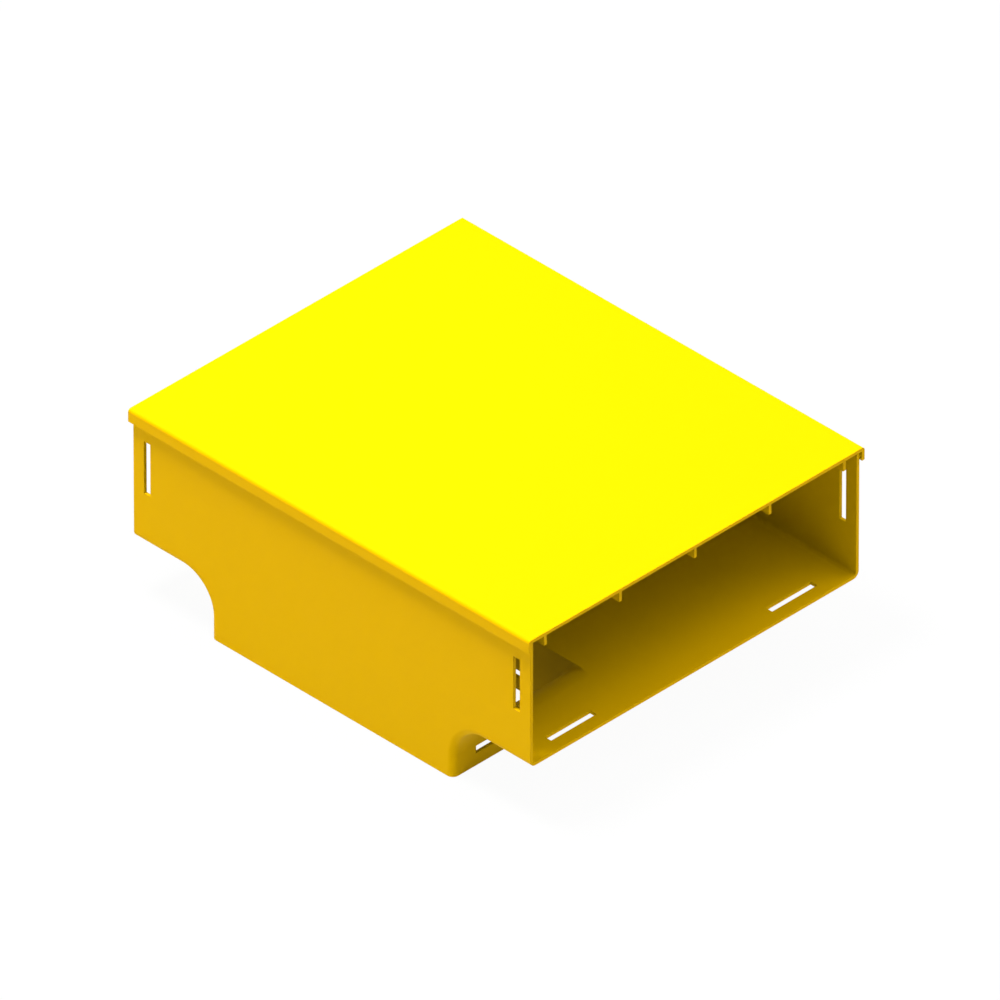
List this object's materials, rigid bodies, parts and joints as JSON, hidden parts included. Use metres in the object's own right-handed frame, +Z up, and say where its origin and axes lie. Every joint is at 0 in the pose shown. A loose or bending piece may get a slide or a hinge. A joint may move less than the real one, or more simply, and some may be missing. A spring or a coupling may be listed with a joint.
{
  "type": "cable raceway side drop fitting",
  "caption": "Covered fibre cable trough section with a flared outlet dropping from one side, open ends, joining slots and a ribbed cover with turned-down lips.",
  "frame": {"origin": "level with the outlet mouth, below the middle of the trough", "axes": "+X along the trough to its right-hand end, +Y across it away from the outlet, +Z up to the cover"},
  "size_m": [0.3714, 0.3112, 0.1486],
  "materials": {
    "yellow_plastic": "satin moulded"
  },
  "bodies": {
    "root": {"raceway_body": "yellow_plastic", "raceway_cover": "yellow_plastic"}
  },
  "joints": []
}
